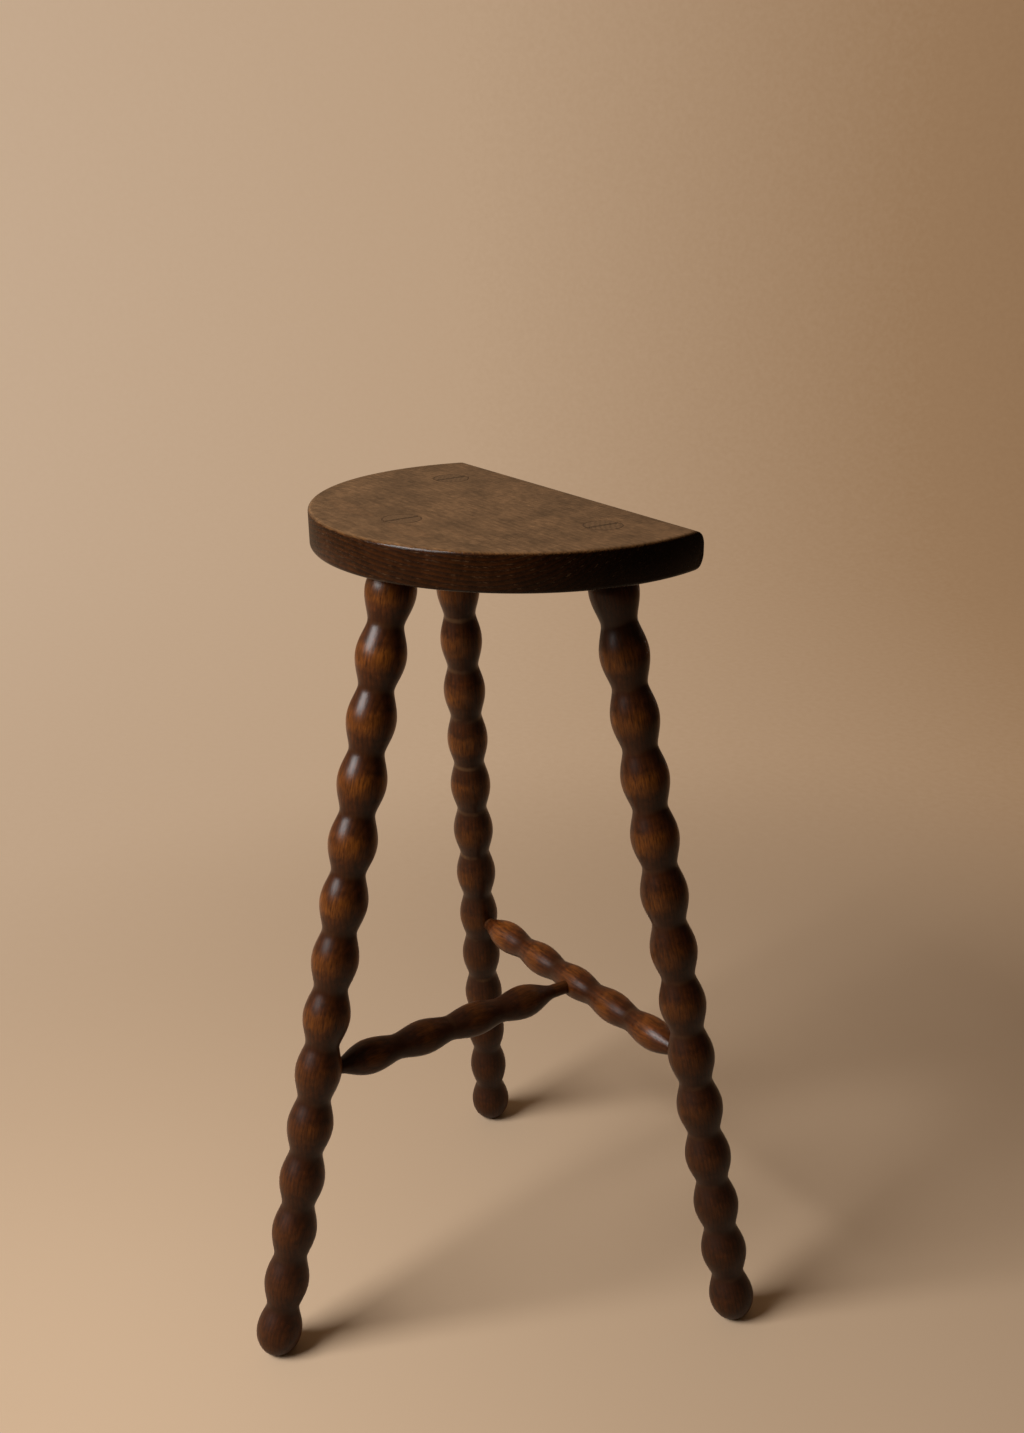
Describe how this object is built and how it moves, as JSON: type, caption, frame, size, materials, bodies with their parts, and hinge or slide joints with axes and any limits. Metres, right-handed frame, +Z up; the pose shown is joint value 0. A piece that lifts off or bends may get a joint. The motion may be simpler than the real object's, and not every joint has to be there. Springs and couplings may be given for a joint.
{
  "type": "three-legged stool",
  "caption": "Tall wooden stool with a half-moon seat, splayed bobbin-turned legs tenoned through the seat and a T of turned stretchers.",
  "frame": {"origin": "on the floor, at the middle of the stool's bounding box", "axes": "+Z up, X along the seat's straight back edge, -Y towards the curved front and the front leg"},
  "size_m": [0.4222, 0.3841, 0.7],
  "materials": {
    "seat_wood": "stained and waxed hardwood board, satin",
    "leg_wood": "stained and waxed turned hardwood, satin",
    "stretcher_wood": "stained and waxed turned hardwood, satin",
    "wedge_wood": "stained hardwood end grain"
  },
  "bodies": {
    "root": {"seat_board": "seat_wood", "leg_front": "leg_wood", "leg_rear_left": "leg_wood", "leg_rear_right": "leg_wood", "cross_stretcher": "stretcher_wood", "foot_stretcher": "stretcher_wood", "wedge_front": "wedge_wood", "wedge_rear_left": "wedge_wood", "wedge_rear_right": "wedge_wood"}
  },
  "joints": []
}
